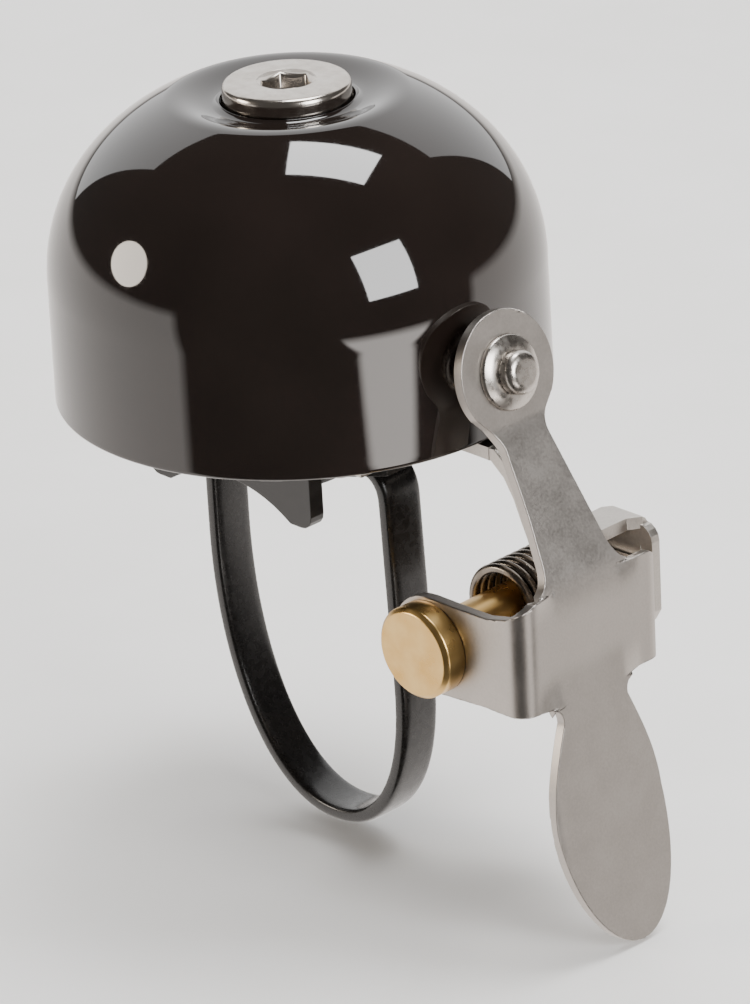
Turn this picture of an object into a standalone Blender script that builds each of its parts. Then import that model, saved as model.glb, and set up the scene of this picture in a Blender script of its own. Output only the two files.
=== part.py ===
"""Bicycle bell: a 45 mm dome on a strap clamp, rung by a sprung lever with a thumb tab.

The origin is the axis of the handlebar under the dome. +Z is up the dome's axis, +X points to the
lever, and Y runs along the handlebar. Sizes are in millimetres, heights named *_Z are measured from
the plane of the dome's rim, and every mesh is written in metres.
"""

import math

import bmesh
import bpy

MM = 0.001

# Handlebar and clearances
BAR_R = 11.1  # a 22.2 mm handlebar
BAR_TOP_Z = -6.0  # where the bar's top meets the saddle
RIM_HEIGHT = BAR_R - BAR_TOP_Z  # the rim's plane over the bar's axis
SEAT_GAP = 0.05  # between faces that are clamped together
RUNNING_GAP = 0.15  # between a pin or screw and its hole, on the radius
SIDE_GAP = 0.15  # between ears that turn past each other

# Dome
DOME_R = 22.5
SKIRT_H = 11.36
SKIRT_TOP_R = DOME_R - 0.12
CROWN_H = 18.28
CROWN_POWER = 2.08
CROWN_FLAT_R = 11.0
DIMPLE_R = 6.0
DIMPLE_SINK = 2.1
DIMPLE_FLOOR_Z = SKIRT_H + CROWN_H - 4.04
DOME_WALL = 1.4

# Clamp screw and what it passes through
SCREW_R = 2.4
HEAD_R = 5.75
HEAD_H = 2.45
HEAD_CHAMFER = 0.5
SOCKET_AF = 4.0
SOCKET_DEPTH = 1.6
BUSH_FLANGE_H = 0.7
BUSH_FLANGE_R = 5.5
BUSH_WALL = 0.5
UNDER_WASHER_H = 0.8
UNDER_WASHER_R = 5.5
POST_R = 4.5
SCREW_HOLE_R = SCREW_R + RUNNING_GAP

# Clamp band, and the threaded block that its two ends are riveted to
BAND_WIDTH = 4.4
BAND_T = 1.45
BAND_TRAVEL = 13.2
BAND_LEFT_X = -11.5
BAND_RIGHT_X = 12.3
BAND_RIGHT_TOP_X = 11.5
BAND_BOTTOM = (2.3, -42.2)
BAND_SIDE_Z = (-17.0, -27.0)
BAND_POWER = (2.08, 2.3)
BAND_SHOULDER_R = 2.6
BAND_TOP_Z = -4.6
BLOCK_HALF_X = 5.4
BLOCK_HALF_Y = 4.0
BLOCK_H = 4.4
RIVET_X = 4.0
RIVET_R = 0.7
RIVET_HEAD_R = 1.2
RIVET_HEAD_H = 0.5
RIVET_GRIP = 2.0

# Lever bracket: base frame, sloping arm, stop flange and pivot ear
SHEET = 1.2
EAR_SHEET = 1.0
BASE_TOP_Z = -0.5
BASE_HALF_X = 16.6
BASE_HALF_Y = 9.3
WINDOW_HALF_X = 13.9
WINDOW_HALF_Y = BLOCK_HALF_Y + 0.5
ARM_LOW_Y = 0.5
ARM_HIGH_Y = 6.0
ARM_PATH = [(DOME_R + 0.7, BASE_TOP_Z - 0.05), (DOME_R + 2.7, -2.2), (DOME_R + 3.9, -4.1)]
ARM_PATH += [(DOME_R + 4.7, -6.0), (DOME_R + 5.4, -7.5)]
LEDGE_Z = -7.5
STOP_X = DOME_R + 9.1
EAR_FRONT_X = DOME_R + 11.1
EAR_FRONT_LOW_Z = -16.4

# Stirrup that carries the post over the clamp block's travel
BRIDGE_CLEAR = 1.0
BRIDGE_T = 1.2
BRIDGE_HALF_X = 5.0
BRIDGE_TOP_Z = BAND_TOP_Z + BLOCK_H + BAND_TRAVEL + BRIDGE_CLEAR + BRIDGE_T

# Saddle
SADDLE_T = 1.5
SADDLE_HALF_X = 15.6
SADDLE_HALF_Y = 9.6
SADDLE_END_Y = 5.2
CHEEK_OUT_Y = 10.0
CHEEK_T = 1.6
CHEEK_HALF_X = 10.6
CHEEK_LOW_Z = {"near": -8.35, "far": -7.4}
CHEEK_BAR_R = 14.3
CHEEK_FOOT_R = 1.3

# Striker lever
LEVER_T = 1.0
DISC_R = 5.54
DISC_TILT = 13.9
DISC_CENTRE = (DOME_R + 3.43, 7.70)
ARM_FRONT = [(DOME_R + 5.2, 2.3), (DOME_R + 8.5, -3.4), (DOME_R + 11.4, -8.9), (DOME_R + 11.8, -10.6)]
ARM_WIDTHS = [5.0, 6.7, 8.6, 13.0]
BODY_X = DOME_R + 12.0
BODY_NEAR_Y = -8.44
BODY_FAR_Y = 9.1
BODY_TOP_Z = -9.6
BODY_LOW_Z = -20.2
NEAR_BEND_R = 1.9
FAR_BEND_R = 1.2
TAB_TOP = (BODY_X + 0.3, -19.2)
TAB_TIP = (BODY_X + 4.3, -43.9)
TAB_WIDTH = 13.3
NECK_WIDTH = 8.1
TAB_NECK_END = 0.1
TAB_WIDEST = 0.48
TAB_LEAN = 1.3
TAB_BOW = 0.4

# Pivot
PIVOT = (DOME_R + 0.9, -16.1)
EAR_R = 4.6
PIN_R = 2.25
PIN_HEAD_R = 4.25
PIN_HEAD_H = 2.3
PIN_CHAMFER = 0.4
PIVOT_WASHER_H = 0.5
PIVOT_WASHER_R = 4.2
PIVOT_NUT_AF = 8.0
PIVOT_NUT_H = 2.4
PIN_END = 0.8
EAR_HOLE_R = PIN_R + RUNNING_GAP
FIXED_EAR_Y = BODY_FAR_Y + SIDE_GAP
FIXED_EAR_OUT_Y = FIXED_EAR_Y + EAR_SHEET

# Torsion spring
WIRE_R = 0.42
COIL_R = PIN_R + 1.15
COIL_OFFSET = (-0.3, 0.42)
COIL_FULL_TURNS = 7
COIL_START_Y = 0.5
COIL_PITCH = 0.95
LEG_ANGLE = 24.0
BRACKET_LEG = 8.8
LEVER_LEG_X = BODY_X - LEVER_T - 0.3

# Hammer through the lever's disc
HAMMER_R = 3.0
HAMMER_H = 1.6
HAMMER_SHANK_R = 1.5
HAMMER_BOSS_R = 1.95
HAMMER_BOSS_H = 1.4
HAMMER_WASHER_R = 3.35
HAMMER_WASHER_H = 0.8

ROUND_STEPS = 28
DOME_STEPS = 48


def clear_scene():
    for obj in list(bpy.data.objects):
        bpy.data.objects.remove(obj, do_unlink=True)


def finish(name, colour, metallic, roughness):
    """A Principled material in a piece's colour."""
    material = bpy.data.materials.new(name)
    material.use_nodes = True
    shader = material.node_tree.nodes["Principled BSDF"]
    shader.inputs["Base Color"].default_value = (*colour, 1.0)
    shader.inputs["Metallic"].default_value = metallic
    shader.inputs["Roughness"].default_value = roughness
    return material


def arc(centre, radius, start, end, steps):
    """Points on a circle from one angle to another, in degrees."""
    angles = [math.radians(start + (end - start) * i / steps) for i in range(steps + 1)]
    return [(centre[0] + radius * math.cos(a), centre[1] + radius * math.sin(a)) for a in angles]


def make_object(name, points, faces, material):
    """A closed mesh from points in millimetres over the rim's plane."""
    mesh = bpy.data.meshes.new(name)
    mesh.from_pydata([(x * MM, y * MM, (z + RIM_HEIGHT) * MM) for x, y, z in points], [], faces)
    shape = bmesh.new()
    shape.from_mesh(mesh)
    bmesh.ops.recalc_face_normals(shape, faces=shape.faces)
    shape.to_mesh(mesh)
    shape.free()
    mesh.materials.append(material)
    mesh.shade_smooth()
    mesh.set_sharp_from_angle(angle=math.radians(35))
    obj = bpy.data.objects.new(name, mesh)
    bpy.context.scene.collection.objects.link(obj)
    return obj


def turn_points(profile, steps):
    """Rings of (radius, height) points around an axis, and the faces between them."""
    points = []
    rings = []
    for radius, height in profile:
        if radius == 0:
            rings.append([len(points)] * steps)
            points.append((0.0, 0.0, height))
            continue
        rings.append(list(range(len(points), len(points) + steps)))
        for i in range(steps):
            angle = 2 * math.pi * (i + 0.5) / steps
            points.append((radius * math.cos(angle), radius * math.sin(angle), height))
    faces = []
    pairs = list(zip(rings, rings[1:]))
    if profile[0][0] and profile[-1][0]:
        pairs.append((rings[-1], rings[0]))
    for low, high in pairs:
        for i in range(steps):
            j = (i + 1) % steps
            corners = list(dict.fromkeys((low[i], low[j], high[j], high[i])))
            if len(corners) > 2:
                faces.append(corners)
    return points, faces


def turned(name, profile, material, steps=ROUND_STEPS):
    """A piece turned about the dome's axis."""
    points, faces = turn_points(profile, steps)
    return make_object(name, points, faces, material)


def turned_at(name, profile, material, centre_x, steps=ROUND_STEPS):
    """A piece turned about an upright axis at a place along X."""
    points, faces = turn_points(profile, steps)
    return make_object(name, [(x + centre_x, y, z) for x, y, z in points], faces, material)


def turned_on_pivot(name, profile, material, steps=ROUND_STEPS):
    """A piece turned about the pivot's axis; its heights are places along Y."""
    points, faces = turn_points(profile, steps)
    placed = [(PIVOT[0] + y, z, PIVOT[1] + x) for x, y, z in points]
    return make_object(name, placed, faces, material)


def on_disc(across, out):
    """A point of the disc's plane, in X and Z: up along the disc, and out from its front face."""
    tilt = math.radians(DISC_TILT)
    x = DISC_CENTRE[0] + out * math.cos(tilt) - across * math.sin(tilt)
    return x, DISC_CENTRE[1] + out * math.sin(tilt) + across * math.cos(tilt)


def turned_on_disc(name, profile, material, steps=ROUND_STEPS):
    """A piece turned about the disc's axis; its heights are distances out of the disc."""
    points, faces = turn_points(profile, steps)
    placed = []
    for across, y, out in points:
        x, z = on_disc(across, out)
        placed.append((x, y, z))
    return make_object(name, placed, faces, material)


def ring_profile(inner, outer, low, high):
    return [(inner, low), (outer, low), (outer, high), (inner, high)]


def rod_profile(radius, low, high):
    return [(0, low), (radius, low), (radius, high), (0, high)]


def prism(name, outline, place, low, high, material):
    """An outline extruded between two levels; place turns (a, b, level) into a point."""
    count = len(outline)
    points = [place(a, b, level) for level in (low, high) for a, b in outline]
    faces = [list(range(count)), list(range(count, 2 * count))]
    faces += [[i, (i + 1) % count, count + (i + 1) % count, count + i] for i in range(count)]
    return make_object(name, points, faces, material)


def along_x(a, b, level):
    return level, a, b


def along_y(a, b, level):
    return a, level, b


def along_z(a, b, level):
    return a, b, level


def offset_path(path, distance):
    """The path moved to its left by a distance, mitred at each bend."""
    normals = []
    for (ax, az), (bx, bz) in zip(path, path[1:]):
        length = math.hypot(bx - ax, bz - az)
        normals.append(((az - bz) / length, (bx - ax) / length))
    moved = []
    for (x, z), before, after in zip(path, normals[:1] + normals, normals + normals[-1:]):
        nx = before[0] + after[0]
        nz = before[1] + after[1]
        scale = distance * 2 / (nx * nx + nz * nz)
        moved.append((x + nx * scale, z + nz * scale))
    return moved


def strip(name, path, thickness, edges, material):
    """Sheet along a path in X and Z, as thick as it says to the path's left, between two edges in Y."""
    points = []
    for (ax, az), (bx, bz), (near, far) in zip(path, offset_path(path, thickness), edges):
        points += [(ax, near, az), (ax, far, az), (bx, far, bz), (bx, near, bz)]
    faces = [[0, 1, 2, 3], [len(points) - 4 + i for i in range(4)]]
    for start in range(0, len(points) - 4, 4):
        for i in range(4):
            j = (i + 1) % 4
            faces.append([start + i, start + j, start + 4 + j, start + 4 + i])
    return make_object(name, points, faces, material)


def combine(obj, operation, *others):
    """Adds, cuts or keeps the overlap with other objects, which stay as hidden helpers."""
    for other in others:
        modifier = obj.modifiers.new(other.name, "BOOLEAN")
        modifier.operation = operation
        modifier.object = other
        other.hide_render = True
        other.display_type = "WIRE"


def hang_on(empty, objects):
    """Parents pieces to an empty and moves their origins to it, with their shapes where they were."""
    for obj in objects:
        obj.data.transform(empty.matrix_world.inverted())
        obj.parent = empty


def joint_empty(name, x, z):
    empty = bpy.data.objects.new(name, None)
    bpy.context.scene.collection.objects.link(empty)
    empty.location = (x * MM, 0.0, (z + RIM_HEIGHT) * MM)
    bpy.context.view_layer.update()
    return empty


def crown_point(angle, inset=0.0):
    """Radius and height on the crown, from the skirt at 0 degrees to the axis at 90."""
    power = 2 / CROWN_POWER
    radius = (SKIRT_TOP_R - inset) * math.cos(math.radians(angle)) ** power
    height = SKIRT_H + (CROWN_H - inset) * math.sin(math.radians(angle)) ** power
    share = min(max((radius - DIMPLE_R) / (CROWN_FLAT_R - DIMPLE_R), 0.0), 1.0)
    return radius, height - DIMPLE_SINK * (1 - share * share * (3 - 2 * share))


def dome(material):
    """The bell itself: straight skirt, rounded crown, and a dimple for the screw's head."""
    hole_r = SCREW_HOLE_R + BUSH_WALL + RUNNING_GAP
    under_z = DIMPLE_FLOOR_Z - DOME_WALL
    angles = [5, 12, 20, 28, 36, 44, 52, 59, 65, 70, 73]
    outer = [(DOME_R, 0.0), (SKIRT_TOP_R, SKIRT_H)] + [crown_point(a) for a in angles]
    recess = [(DIMPLE_R, crown_point(74.5)[1]), (DIMPLE_R - 0.1, DIMPLE_FLOOR_Z)]
    recess += [(hole_r, DIMPLE_FLOOR_Z), (hole_r, under_z), (DIMPLE_R + DOME_WALL, under_z)]
    inner = [crown_point(a, DOME_WALL) for a in reversed(angles[:-3])]
    inner += [(SKIRT_TOP_R - DOME_WALL, SKIRT_H), (DOME_R - DOME_WALL, 0.0)]
    turned("bell_dome", outer + recess + inner, material, DOME_STEPS)


def clamp_stack(steel, nylon, zinc):
    """The screw, and the bush, washer and post that it clamps with the dome."""
    flange_z = DIMPLE_FLOOR_Z + SEAT_GAP
    head_z = flange_z + BUSH_FLANGE_H + SEAT_GAP
    top_z = head_z + HEAD_H
    end_z = BAR_TOP_Z + 0.3
    bush_r = SCREW_HOLE_R + BUSH_WALL
    under_z = DIMPLE_FLOOR_Z - DOME_WALL - SEAT_GAP
    post_top_z = under_z - UNDER_WASHER_H - SEAT_GAP
    screw = turned("top_screw", [
        (0, end_z), (SCREW_R - 0.4, end_z), (SCREW_R, end_z + 0.4), (SCREW_R, head_z),
        (HEAD_R - 0.2, head_z), (HEAD_R, head_z + 0.4), (HEAD_R, top_z - HEAD_CHAMFER - 0.3),
        (HEAD_R - 0.15, top_z - HEAD_CHAMFER + 0.1), (HEAD_R - HEAD_CHAMFER, top_z), (0, top_z),
    ], steel)
    hexagon = arc((0, 0), SOCKET_AF / math.sqrt(3), 0, 300, 5)
    socket = prism("socket_cutter", hexagon, along_z, top_z - SOCKET_DEPTH, top_z + 1, steel)
    combine(screw, "DIFFERENCE", socket)
    turned("dimple_bush", [
        (SCREW_HOLE_R, under_z + 0.2), (bush_r, under_z + 0.2), (bush_r, flange_z),
        (BUSH_FLANGE_R, flange_z), (BUSH_FLANGE_R, flange_z + BUSH_FLANGE_H),
        (SCREW_HOLE_R, flange_z + BUSH_FLANGE_H),
    ], nylon)
    under_washer = ring_profile(SCREW_HOLE_R, UNDER_WASHER_R, under_z - UNDER_WASHER_H, under_z)
    turned("under_dome_washer", under_washer, nylon)
    post = ring_profile(SCREW_HOLE_R, POST_R, BRIDGE_TOP_Z + SEAT_GAP, post_top_z)
    turned("centre_post", post, zinc)
    hang_on(joint_empty("screw_axis", 0, 0), [screw, socket])


def support_bridge(material):
    """A stirrup on the bracket's base: two uprights and a top plate that carries the post."""
    inner_y = WINDOW_HALF_Y + SIDE_GAP
    outer_y = inner_y + BRIDGE_T
    low = BASE_TOP_Z + SEAT_GAP
    high = BRIDGE_TOP_Z
    outline = [(-outer_y, low), (-outer_y, high), (outer_y, high), (outer_y, low), (inner_y, low)]
    outline += [(inner_y, high - BRIDGE_T), (-inner_y, high - BRIDGE_T), (-inner_y, low)]
    bridge = prism("support_bridge", outline, along_x, -BRIDGE_HALF_X, BRIDGE_HALF_X, material)
    hole = turned("bridge_hole", rod_profile(SCREW_HOLE_R, high - 2 * BRIDGE_T, high + 1), material)
    combine(bridge, "DIFFERENCE", hole)


def band_quarter(side_x, side_z, power, steps):
    """A superellipse's quarter, from the band's straight side to just before its lowest point."""
    bottom_x, bottom_z = BAND_BOTTOM
    points = []
    for i in range(steps):
        angle = math.radians(90 * i / steps)
        x = bottom_x + (side_x - bottom_x) * math.cos(angle) ** (2 / power)
        points.append((x, side_z + (bottom_z - side_z) * math.sin(angle) ** (2 / power)))
    return points


def clamp_band(coated, zinc, steel):
    """A coated strip round the handlebar; its lapped ends are riveted under a threaded block."""
    half_t = BAND_T / 2
    upper_z = BAND_TOP_Z - half_t
    lower_z = upper_z - BAND_T - SEAT_GAP
    lug_x = BLOCK_HALF_X - 0.2
    neck_x = lug_x + 1.6
    shoulder = BAND_SHOULDER_R
    lower_end = [(lug_x, lower_z), (-lug_x, lower_z), (-neck_x, lower_z)]
    left = arc((BAND_LEFT_X + shoulder, lower_z - shoulder), shoulder, 90, 180, 4)
    left += band_quarter(BAND_LEFT_X, BAND_SIDE_Z[0], BAND_POWER[0], 11)
    right = band_quarter(BAND_RIGHT_X, BAND_SIDE_Z[1], BAND_POWER[1], 9)[::-1]
    right += arc((BAND_RIGHT_TOP_X - shoulder, upper_z - shoulder), shoulder, 0, 90, 4)
    upper_end = [(neck_x, upper_z), (lug_x, upper_z), (-lug_x, upper_z)]
    path = offset_path(lower_end + left + [BAND_BOTTOM] + right + upper_end, -half_t)
    narrow = [(-BAND_WIDTH / 2, BAND_WIDTH / 2)] * (len(path) - 4)
    wide = [(-BLOCK_HALF_Y, BLOCK_HALF_Y)] * 2
    band = strip("clamp_band", path, BAND_T, wide + narrow + wide, coated)
    hole = turned("band_hole", rod_profile(SCREW_HOLE_R, lower_z - 2, upper_z + 2), coated)

    block_low = BAND_TOP_Z + SEAT_GAP
    square = [(-BLOCK_HALF_X, -BLOCK_HALF_Y), (BLOCK_HALF_X, -BLOCK_HALF_Y)]
    square += [(BLOCK_HALF_X, BLOCK_HALF_Y), (-BLOCK_HALF_X, BLOCK_HALF_Y)]
    block = prism("clamp_block", square, along_z, block_low, block_low + BLOCK_H, zinc)
    bore = turned("block_bore", rod_profile(SCREW_HOLE_R, block_low - 1, block_low + BLOCK_H + 1), zinc)

    rivet_seat = lower_z - half_t - SEAT_GAP
    rivet_top = block_low + RIVET_GRIP
    pieces = [band, hole, block, bore]
    for side, sign in (("left", -1), ("right", 1)):
        rivet = turned_at(f"band_rivet_{side}", [
            (0, rivet_seat - RIVET_HEAD_H), (RIVET_HEAD_R - 0.3, rivet_seat - RIVET_HEAD_H),
            (RIVET_HEAD_R, rivet_seat), (RIVET_R, rivet_seat), (RIVET_R, rivet_top), (0, rivet_top),
        ], steel, sign * RIVET_X, 16)
        drill = rod_profile(RIVET_R + RUNNING_GAP, rivet_seat - 1, rivet_top + SEAT_GAP)
        drilled = turned_at(f"rivet_hole_{side}", drill, steel, sign * RIVET_X, 16)
        combine(band, "DIFFERENCE", drilled)
        combine(block, "DIFFERENCE", drilled)
        pieces += [rivet, drilled]
    combine(band, "DIFFERENCE", hole)
    combine(block, "DIFFERENCE", bore)
    hang_on(joint_empty("band_slide", 0, BAND_TOP_Z), pieces)


def striker_bracket(material):
    """Sheet bracket: a window frame under the dome, an arm sloping out to a ledge, and a pivot ear."""
    low = BASE_TOP_Z - SHEET
    arm_x = ARM_PATH[0][0]
    outline = [(-BASE_HALF_X, -BASE_HALF_Y), (BASE_HALF_X, -BASE_HALF_Y), (BASE_HALF_X, ARM_LOW_Y)]
    outline += [(arm_x - 0.6, ARM_LOW_Y), (arm_x - 0.6, ARM_HIGH_Y + 0.1)]
    outline += [(BASE_HALF_X, BASE_HALF_Y), (-BASE_HALF_X, BASE_HALF_Y)]
    base = prism("striker_bracket", outline, along_z, low, BASE_TOP_Z, material)
    window = [(-WINDOW_HALF_X, -WINDOW_HALF_Y), (WINDOW_HALF_X, -WINDOW_HALF_Y)]
    window += [(WINDOW_HALF_X, WINDOW_HALF_Y), (-WINDOW_HALF_X, WINDOW_HALF_Y)]
    opening = prism("bracket_window", window, along_z, low - 1, BASE_TOP_Z + 1, material)

    top = [(arm_x - 1.8, BASE_TOP_Z - 0.05)] + ARM_PATH + [(ARM_PATH[-1][0] + 2, LEDGE_Z)]
    arm_outline = top + offset_path(top, -SHEET)[::-1]
    arm = prism("bracket_arm", arm_outline, along_y, ARM_LOW_Y + 0.05, ARM_HIGH_Y, material)
    ledge_x = ARM_PATH[-1][0] + 0.3
    ledge_outline = [(ledge_x, ARM_LOW_Y + 0.1), (STOP_X, ARM_LOW_Y + 0.1)]
    ledge_outline += [(STOP_X, FIXED_EAR_Y - 1.0), (STOP_X + 0.8, FIXED_EAR_Y + 0.2)]
    ledge_outline += [(ledge_x + 0.6, FIXED_EAR_Y + 0.2), (ledge_x, FIXED_EAR_Y - 0.6)]
    ledge = prism("bracket_ledge", ledge_outline, along_z, LEDGE_Z - SHEET + 0.05, LEDGE_Z + 0.05, material)
    fold = [(FIXED_EAR_Y + 0.1, LEDGE_Z), (FIXED_EAR_Y + 0.6, LEDGE_Z - 0.25)]
    fold += [(FIXED_EAR_OUT_Y - 0.05, LEDGE_Z - 0.8), (FIXED_EAR_OUT_Y - 0.05, LEDGE_Z - SHEET)]
    fold += [(FIXED_EAR_Y + 0.1, LEDGE_Z - SHEET)]
    bend = prism("bracket_fold", fold, along_x, ledge_x + 0.8, STOP_X + 0.7, material)

    ear_top = LEDGE_Z - 0.7
    ear_outline = arc(PIVOT, EAR_R, 150, 285, 12)
    ear_outline += [(EAR_FRONT_X - 0.7, EAR_FRONT_LOW_Z - 1.2), (EAR_FRONT_X, EAR_FRONT_LOW_Z)]
    ear_outline += arc((EAR_FRONT_X - 1.5, ear_top - 1.5), 1.5, 0, 90, 4)
    ear_outline += [(ledge_x - 0.3, ear_top), (ledge_x - 2.0, ear_top - 1.2)]
    ear = prism("bracket_ear", ear_outline, along_y, FIXED_EAR_Y, FIXED_EAR_OUT_Y, material)
    hole = turned_on_pivot("bracket_ear_hole", rod_profile(EAR_HOLE_R, FIXED_EAR_Y - 1,
                                                           FIXED_EAR_OUT_Y + 1), material)
    combine(base, "DIFFERENCE", opening)
    combine(base, "UNION", arm, ledge, bend, ear)
    combine(base, "DIFFERENCE", hole)


def saddle(material):
    """Moulded saddle: a window frame with two cheeks whose lower edges are cut to the bar."""
    high = BASE_TOP_Z - SHEET - SEAT_GAP
    low = high - SADDLE_T
    side = [(CHEEK_HALF_X, SADDLE_HALF_Y), (SADDLE_HALF_X, SADDLE_END_Y)]
    frame = [(x, -y) for x, y in side] + [(x, y) for x, y in side[::-1]]
    frame += [(-x, y) for x, y in side] + [(-x, -y) for x, y in side[::-1]]
    plate = prism("saddle", frame, along_z, low, high, material)
    window = [(-WINDOW_HALF_X, -WINDOW_HALF_Y), (WINDOW_HALF_X, -WINDOW_HALF_Y)]
    window += [(WINDOW_HALF_X, WINDOW_HALF_Y), (-WINDOW_HALF_X, WINDOW_HALF_Y)]
    opening = prism("saddle_window", window, along_z, low - 1, high + 1, material)

    centre = (0.0, BAR_TOP_Z - CHEEK_BAR_R)
    for side_name, sign in (("near", -1), ("far", 1)):
        foot_z = CHEEK_LOW_Z[side_name]
        reach = math.degrees(math.acos((foot_z - centre[1]) / CHEEK_BAR_R))
        outline = arc(centre, CHEEK_BAR_R, 90 - reach, 90 + reach, 14)
        foot = (CHEEK_HALF_X - CHEEK_FOOT_R, foot_z + CHEEK_FOOT_R)
        outline += arc((-foot[0], foot[1]), CHEEK_FOOT_R, 270, 180, 4)
        outline += [(-CHEEK_HALF_X, high - 0.3), (CHEEK_HALF_X, high - 0.3)]
        outline += arc(foot, CHEEK_FOOT_R, 0, -90, 4)
        ends = sorted((sign * CHEEK_OUT_Y, sign * (CHEEK_OUT_Y - CHEEK_T)))
        combine(plate, "UNION", prism(f"cheek_{side_name}", outline, along_y, *ends, material))
    combine(plate, "DIFFERENCE", opening)


def striker_lever(material):
    """One folded sheet: hammer disc, arm, body with two pivot ears, and thumb tab."""
    back_x = PIVOT[0] - EAR_R - 1
    near_bend = (BODY_X - NEAR_BEND_R, BODY_NEAR_Y + NEAR_BEND_R)
    far_bend = (BODY_X - FAR_BEND_R, BODY_FAR_Y - FAR_BEND_R)
    channel = [(back_x, BODY_NEAR_Y)]
    channel += arc(near_bend, NEAR_BEND_R, -90, 0, 5)
    channel += arc(far_bend, FAR_BEND_R, 0, 90, 5)
    channel += [(back_x, BODY_FAR_Y), (back_x, BODY_FAR_Y - LEVER_T)]
    channel += arc(far_bend, FAR_BEND_R - LEVER_T, 90, 0, 5)
    channel += arc(near_bend, NEAR_BEND_R - LEVER_T, 0, -90, 5)
    channel += [(back_x, BODY_NEAR_Y + LEVER_T)]
    body = prism("striker_lever", channel, along_z, PIVOT[1] - EAR_R - 0.5, BODY_TOP_Z, material)
    bend_x = near_bend[0]
    side = arc(PIVOT, EAR_R, 90, 270, 14)
    side += [(bend_x - 3, BODY_LOW_Z), (BODY_X + 2, BODY_LOW_Z), (BODY_X + 2, BODY_TOP_Z + 1)]
    side += [(bend_x, BODY_TOP_Z + 1), (bend_x, BODY_TOP_Z), (bend_x - 2.2, PIVOT[1] + EAR_R)]
    side_slab = prism("lever_side", side, along_y, BODY_NEAR_Y - 1, BODY_FAR_Y + 1, material)

    neck = ARM_WIDTHS[0] / 2
    neck_angle = 180 - math.degrees(math.asin(neck / DISC_R))
    front = []
    edges = []
    for i in range(11):
        angle = math.radians(6 + (neck_angle - 6) * i / 10)
        front.append(on_disc(DISC_R * math.cos(angle), 0))
        edges.append((-DISC_R * math.sin(angle), DISC_R * math.sin(angle)))
    front += ARM_FRONT
    edges += [(-width / 2, width / 2) for width in ARM_WIDTHS]
    arm = strip("lever_arm", offset_path(front, -LEVER_T), LEVER_T, edges, material)

    tab_front = []
    tab_edges = []
    for i in range(21):
        share = i / 20
        tab_front.append(tuple(a + (b - a) * share for a, b in zip(TAB_TOP, TAB_TIP)))
        if share < TAB_NECK_END:
            half = NECK_WIDTH / 2
        elif share < TAB_WIDEST:
            growth = math.sin(math.radians(90 * (share - TAB_NECK_END) / (TAB_WIDEST - TAB_NECK_END)))
            half = (NECK_WIDTH + (TAB_WIDTH - NECK_WIDTH) * growth) / 2
        else:
            past = (share - TAB_WIDEST) / (1.005 - TAB_WIDEST)
            half = TAB_WIDTH / 2 * math.sqrt(1 - past * past)
        centre = TAB_LEAN * max(share - TAB_WIDEST, 0.0) / (1 - TAB_WIDEST)
        centre -= TAB_BOW * math.sin(math.pi * share)
        tab_edges.append((centre - half, centre + half))
    tab = strip("lever_tab", offset_path(tab_front, -LEVER_T), LEVER_T, tab_edges, material)

    pin_hole = turned_on_pivot("lever_pin_hole", rod_profile(EAR_HOLE_R, BODY_NEAR_Y - 1,
                                                             BODY_FAR_Y + 1), material)
    disc_hole = turned_on_disc("lever_disc_hole", rod_profile(HAMMER_SHANK_R + RUNNING_GAP,
                                                              -LEVER_T - 1, 1), material, 20)
    combine(arm, "DIFFERENCE", disc_hole)
    combine(body, "INTERSECT", side_slab)
    combine(body, "DIFFERENCE", pin_hole)
    combine(body, "UNION", arm, tab)
    return [body, side_slab, pin_hole, disc_hole, arm, tab]


def hammer(steel, washer_steel):
    """A turned hammer behind the disc, riveted through it over a domed washer."""
    back = -LEVER_T - SEAT_GAP
    face = back - HAMMER_H
    washer_top = SEAT_GAP + HAMMER_WASHER_H
    boss = washer_top + SEAT_GAP
    top = boss + HAMMER_BOSS_H
    striker = turned_on_disc("striker_hammer", [
        (0, face), (HAMMER_R * 0.55, face + 0.1), (HAMMER_R * 0.88, face + 0.45), (HAMMER_R, face + 1),
        (HAMMER_R, back), (HAMMER_SHANK_R, back), (HAMMER_SHANK_R, boss), (HAMMER_BOSS_R, boss),
        (HAMMER_BOSS_R, top - 0.6), (HAMMER_BOSS_R * 0.8, top - 0.15), (HAMMER_BOSS_R * 0.45, top), (0, top),
    ], steel, 20)
    bore = HAMMER_SHANK_R + RUNNING_GAP
    washer = turned_on_disc("hammer_washer", [
        (bore, SEAT_GAP), (HAMMER_WASHER_R, SEAT_GAP), (HAMMER_WASHER_R, SEAT_GAP + 0.3),
        (HAMMER_WASHER_R - 0.7, washer_top - 0.1), (HAMMER_BOSS_R, washer_top), (bore, washer_top),
    ], washer_steel, 20)
    return [striker, washer]


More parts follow.
